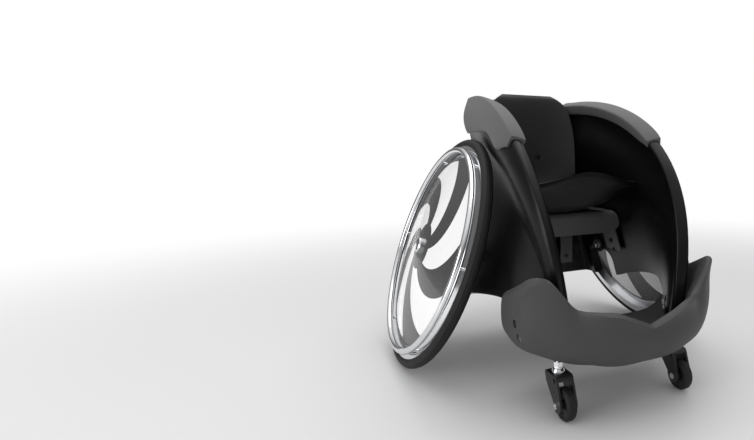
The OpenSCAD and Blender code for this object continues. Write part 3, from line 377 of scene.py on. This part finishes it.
seed = bpy.data.objects.new("thread_seed", bpy.data.meshes.new("thread_seed"))
bpy.context.scene.collection.objects.link(seed)
winding = seed.modifiers.new("thread", "NODES")
winding.node_group = thread_tree()
drawn = seed.evaluated_get(bpy.context.evaluated_depsgraph_get())
thread = bpy.data.objects.new("stem_threads", bpy.data.meshes.new_from_object(drawn))
bpy.context.scene.collection.objects.link(thread)
bpy.data.objects.remove(seed)
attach(thread, "chair")

# Tyres
# Slim solid tyres of black rubber.
# Their dull faces are cloudy and scuffed from use.
tyre_finish = finish_with("tyre_rubber", MOULDED, specular=0.28, Colour=(0.011, 0.011, 0.0114, 1),
                          Cloud=0.4, Roughness=0.62, Gloss_change=0.15, Grain_scale=420.0,
                          Grain_height=0.45, Scuffs=0.3)
for side in ("left", "right"):
    dress("tyre_" + side, tyre_finish)

# Wheel discs
# Dished plastic covers over the wheel, printed with broad white blades on dark grey.
# Each is one thin turned form, with a rolled outer edge and a flat seat round the hub.
WHEEL_AT = Vector((0.289472, 0.1245, 0.287451))
WHEEL_LEAN = math.radians(70)
DISC_STEPS = 144
DISC_MAP = 0.504      # metres that the face's map spans
DISC_PROFILE = [(0.0175, 0.038), (0.0175, 0.041), (0.030, 0.0412), (0.042, 0.0408), (0.09, 0.0345),
                (0.14, 0.0279), (0.19, 0.0213), (0.23, 0.0162), (0.240, 0.0149), (0.2462, 0.01448),
                (0.2505, 0.0144), (0.2518, 0.0138), (0.252, 0.0128), (0.2516, 0.0118), (0.244, 0.01152),
                (0.19, 0.0182), (0.14, 0.0248), (0.09, 0.0314), (0.042, 0.0378)]
BLADES = 5
PRINT_WHITE = (0.92, 0.92, 0.92, 1)
BLADE_EDGE, RING_EDGE = 30.0, 260.0     # how sharply the print changes tone
PRINT_DEPTH = 0.0003


def blade_pattern():
    """White where a broad curved blade is printed, from the face's own map."""
    tree, given, out = group_with("blade_pattern", [
        ("Blades", "NodeSocketFloat", BLADES), ("Sweep", "NodeSocketFloat", 1.35),
        ("Hub", "NodeSocketFloat", 0.24), ("Border", "NodeSocketFloat", 0.955),
        ("Share", "NodeSocketFloat", 0.1)], [("White", "NodeSocketFloat")])
    face = add(tree, "ShaderNodeUVMap", (-6, 2), uv_map="face")
    parts = add(tree, "ShaderNodeSeparateXYZ", (-5, 2))
    join(tree, face.outputs[0], parts.inputs[0])
    x = sums(tree, "MULTIPLY_ADD", (-4, 1), parts.outputs[0], 2.0, -1.0)
    y = sums(tree, "MULTIPLY_ADD", (-4, 2), parts.outputs[1], 2.0, -1.0)
    square_x = sums(tree, "MULTIPLY", (-3, 3), x, x)
    square_y = sums(tree, "MULTIPLY", (-3, 4), y, y)
    radius = sums(tree, "SQRT", (-2, 2), sums(tree, "ADD", (-3, 2), square_x, square_y))
    angle = sums(tree, "ARCTAN2", (-3, 1), y, x)
    swept = sums(tree, "MULTIPLY", (-2, 1), radius, given.outputs["Sweep"])
    turned = sums(tree, "ADD", (-1, 1), angle, swept)
    wave = sums(tree, "SINE", (1, 1), sums(tree, "MULTIPLY", (0, 1), turned, given.outputs["Blades"]))
    raised = sums(tree, "ADD", (1, 2), wave, given.outputs["Share"])
    blade = sums(tree, "MULTIPLY_ADD", (2, 1), raised, BLADE_EDGE, 0.5)
    to_border = sums(tree, "SUBTRACT", (1, 3), given.outputs["Border"], radius)
    inside = sums(tree, "MULTIPLY", (2, 2), to_border, RING_EDGE)
    from_hub = sums(tree, "SUBTRACT", (1, 4), radius, given.outputs["Hub"])
    outside = sums(tree, "MULTIPLY", (2, 3), from_hub, RING_EDGE)
    least = sums(tree, "MINIMUM", (3, 1), sums(tree, "MINIMUM", (3, 2), blade, inside), outside)
    clean = add(tree, "ShaderNodeClamp", (4, 1))
    join(tree, least, clean.inputs[0])
    join(tree, clean.outputs[0], out.inputs["White"])
    return tree


disc_finish = finish_with("printed_disc", MOULDED, coat=0.35, Colour=(0.05, 0.05, 0.051, 1), Cloud=0.1,
                          Roughness=0.26, Gloss_change=0.08, Grain_scale=900.0, Grain_height=0.04,
                          Scuffs=0.12)
disc_tree = disc_finish.node_tree
disc_face = disc_tree.nodes["Principled BSDF"]
print_mask = add(disc_tree, "ShaderNodeGroup", (-3, 2), node_tree=blade_pattern())
mixed = add(disc_tree, "ShaderNodeMix", (-1, 1), data_type="RGBA")
mixed.inputs["B"].default_value = PRINT_WHITE
join(disc_tree, print_mask.outputs[0], mixed.inputs["Factor"])
join(disc_tree, disc_face.inputs["Base Color"].links[0].from_socket, mixed.inputs["A"])
join(disc_tree, mixed.outputs["Result"], disc_face.inputs["Base Color"])
print_edge = add(disc_tree, "ShaderNodeBump", (-1, 3))
print_edge.inputs["Distance"].default_value = PRINT_DEPTH
print_edge.inputs["Strength"].default_value = 0.5
join(disc_tree, print_mask.outputs[0], print_edge.inputs["Height"])
join(disc_tree, disc_face.inputs["Normal"].links[0].from_socket, print_edge.inputs["Normal"])
join(disc_tree, print_edge.outputs[0], disc_face.inputs["Normal"])


def wheel_place(side):
    """The wheel's own frame: local Z runs out along the axle."""
    lean = Matrix.Rotation(WHEEL_LEAN, 4, "Y")
    return Matrix.Scale(side, 4, (1, 0, 0)) @ Matrix.Translation(WHEEL_AT) @ lean


for name, side in (("left", 1), ("right", -1)):
    form = bmesh.new()
    rings = [[form.verts.new((r * math.cos(a), r * math.sin(a), z)) for r, z in DISC_PROFILE]
             for a in (2 * math.pi * i / DISC_STEPS for i in range(DISC_STEPS))]
    face_map = form.loops.layers.uv.new("face")
    for i in range(DISC_STEPS):
        for j in range(len(DISC_PROFILE)):
            k = (j + 1) % len(DISC_PROFILE)
            n = (i + 1) % DISC_STEPS
            quad = form.faces.new((rings[i][j], rings[i][k], rings[n][k], rings[n][j]))
            quad.smooth = True
            for loop in quad.loops:
                at = loop.vert.co
                loop[face_map].uv = (0.5 + at.x / DISC_MAP, 0.5 + at.y / DISC_MAP)
    form.transform(wheel_place(side))
    bmesh.ops.recalc_face_normals(form, faces=form.faces)
    mesh = bpy.data.meshes.new("disc_face_" + name)
    form.to_mesh(mesh)
    form.free()
    disc = bpy.data.objects.new("disc_face_" + name, mesh)
    bpy.context.scene.collection.objects.link(disc)
    crisp = disc.modifiers.new("crisp", "EDGE_SPLIT")
    crisp.split_angle = math.radians(45)
    disc.data.materials.append(disc_finish)
    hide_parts("wheel_disc_" + name)
    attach(disc, "wheel_" + name)

# Hubs
# Turned aluminium hubs with a flange that carries the disc.
# Fine lathe lines show on the metal.
hub_finish = finish_with("hub_aluminium", METAL, metallic=1.0, Colour=(0.42, 0.42, 0.43, 1),
                         Roughness=0.3, Smudges=0.14, Line_scale=600.0, Line_height=0.2)
for side in ("left", "right"):
    dress("hub_" + side, hub_finish)

# Casters
# Black glass-filled nylon forks and wheel cores, with rubber tyres pressed on.
# The tyres are duller than the nylon.
caster_finish = finish_with("caster_nylon", MOULDED, Colour=(0.012, 0.012, 0.0125, 1), Cloud=0.3,
                            Roughness=0.36, Gloss_change=0.12, Grain_scale=900.0, Grain_height=0.2,
                            Scuffs=0.25)
tread_finish = finish_with("caster_rubber", MOULDED, specular=0.28, Colour=(0.013, 0.013, 0.0134, 1),
                           Cloud=0.4, Roughness=0.6, Gloss_change=0.15, Grain_scale=600.0,
                           Grain_height=0.35, Scuffs=0.4)
for side in ("left", "right"):
    dress("fork_" + side, caster_finish)
    dress("caster_core_" + side, caster_finish)
    dress("caster_tyre_" + side, tread_finish)

# Studio
# A pale floor that fades into a white background, and two soft lamps, above and at the left.
# The camera was solved from the photograph, whose centre of view lies right of the picture's middle.
FLOOR_HALF = 9.0
FLOOR_WHITE = (0.72, 0.72, 0.72, 1)
FADE_SHIFT = (-0.1, 0.22, 0)
FADE_FROM, FADE_TO = 0.8, 3.2           # metres from the chair between which the floor turns white
CEILING_FROM, CEILING_TO = 0.1, 0.85    # heights between which the mirrored room brightens
ROOM_DARK = 0.16
ROOM_LIGHT = 0.74
LAMPS = (("top_lamp", (0.1, 0.35, 2.6), (0.05, -0.05, 0.2), 3.0, 36),
         ("left_lamp", (-3.0, -0.7, 0.8), (0, -0.05, 0.35), 1.5, 26))
CAMERA_AT = (-0.6257, -1.1872, 0.5482)
CAMERA_TURN = (math.radians(82.28), 0, math.radians(-27.53))
CAMERA_LENS = 24.28
CAMERA_SHIFT = (-0.233, -0.0019)
floor_mesh = bpy.data.meshes.new("studio_floor")
floor_mesh.from_pydata([(-FLOOR_HALF, -FLOOR_HALF, 0), (FLOOR_HALF, -FLOOR_HALF, 0),
                        (FLOOR_HALF, FLOOR_HALF, 0), (-FLOOR_HALF, FLOOR_HALF, 0)], [], [(0, 1, 2, 3)])
floor = bpy.data.objects.new("studio_floor", floor_mesh)
bpy.context.scene.collection.objects.link(floor)
floor_finish = bpy.data.materials.new("pale_floor")
floor_finish.use_nodes = True
tree = floor_finish.node_tree
matt = tree.nodes["Principled BSDF"]
matt.inputs["Base Color"].default_value = FLOOR_WHITE
matt.inputs["Roughness"].default_value = 0.35
matt.inputs["Specular IOR Level"].default_value = 0.35
place = add(tree, "ShaderNodeTexCoord", (-6, 2)).outputs["Object"]
shifted = add(tree, "ShaderNodeMapping", (-5, 2))
shifted.inputs["Location"].default_value = FADE_SHIFT
join(tree, place, shifted.inputs["Vector"])
away = add(tree, "ShaderNodeVectorMath", (-4, 2), operation="LENGTH")
join(tree, shifted.outputs[0], away.inputs[0])
fade = add(tree, "ShaderNodeMapRange", (-3, 2), interpolation_type="SMOOTHSTEP")
fade.inputs["From Min"].default_value = FADE_FROM
fade.inputs["From Max"].default_value = FADE_TO
join(tree, away.outputs["Value"], fade.inputs["Value"])
rays = add(tree, "ShaderNodeLightPath", (-4, 4))
seen = sums(tree, "MAXIMUM", (-3, 4), rays.outputs["Is Camera Ray"], rays.outputs["Is Glossy Ray"])
seen = sums(tree, "MAXIMUM", (-2, 4), seen, rays.outputs["Is Transmission Ray"])
amount = sums(tree, "MULTIPLY", (-1, 3), fade.outputs[0], seen)
plain = add(tree, "ShaderNodeEmission", (-1, 4))
blend = add(tree, "ShaderNodeMixShader", (2, 2))
join(tree, amount, blend.inputs[0])
join(tree, matt.outputs[0], blend.inputs[1])
join(tree, plain.outputs[0], blend.inputs[2])
join(tree, blend.outputs[0], tree.nodes["Material Output"].inputs["Surface"])
floor_mesh.materials.append(floor_finish)

world = bpy.data.worlds.new("studio")
world.use_nodes = True
bpy.context.scene.world = world
tree = world.node_tree
sky = tree.nodes["Background"]
sky.inputs["Color"].default_value = (1, 1, 1, 1)
rays = add(tree, "ShaderNodeLightPath", (-4, 0))
direction = add(tree, "ShaderNodeTexCoord", (-6, 3)).outputs["Generated"]
height = add(tree, "ShaderNodeSeparateXYZ", (-5, 3))
join(tree, direction, height.inputs[0])
ceiling = add(tree, "ShaderNodeMapRange", (-4, 3), interpolation_type="SMOOTHSTEP")
ceiling.inputs["From Min"].default_value = CEILING_FROM
ceiling.inputs["From Max"].default_value = CEILING_TO
ceiling.inputs["To Min"].default_value = ROOM_DARK
join(tree, height.outputs[2], ceiling.inputs["Value"])
mirrored = sums(tree, "MULTIPLY", (-3, 1), rays.outputs["Is Glossy Ray"], ceiling.outputs[0])
seen = sums(tree, "MAXIMUM", (-3, 0), rays.outputs["Is Camera Ray"], mirrored)
seen = sums(tree, "MAXIMUM", (-2, 0), seen, rays.outputs["Is Transmission Ray"])
dim = sums(tree, "MULTIPLY", (-2, 2), rays.outputs["Is Diffuse Ray"], ROOM_LIGHT)
join(tree, sums(tree, "MAXIMUM", (-1, 0), seen, dim), sky.inputs["Strength"])

for name, at, aim, size, power in LAMPS:
    lamp = bpy.data.lights.new(name, "AREA")
    lamp.size = size
    lamp.energy = power
    holder = bpy.data.objects.new(name, lamp)
    holder.location = at
    holder.rotation_euler = (Vector(aim) - Vector(at)).to_track_quat("-Z", "Y").to_euler()
    holder.visible_camera = False
    bpy.context.scene.collection.objects.link(holder)

camera = bpy.data.objects.new("camera", bpy.data.cameras.new("camera"))
camera.data.sensor_width = 36
camera.data.lens = CAMERA_LENS
camera.data.shift_x, camera.data.shift_y = CAMERA_SHIFT
camera.location = CAMERA_AT
camera.rotation_euler = CAMERA_TURN
bpy.context.scene.collection.objects.link(camera)
bpy.context.scene.camera = camera
bpy.context.scene.view_settings.view_transform = "Standard"
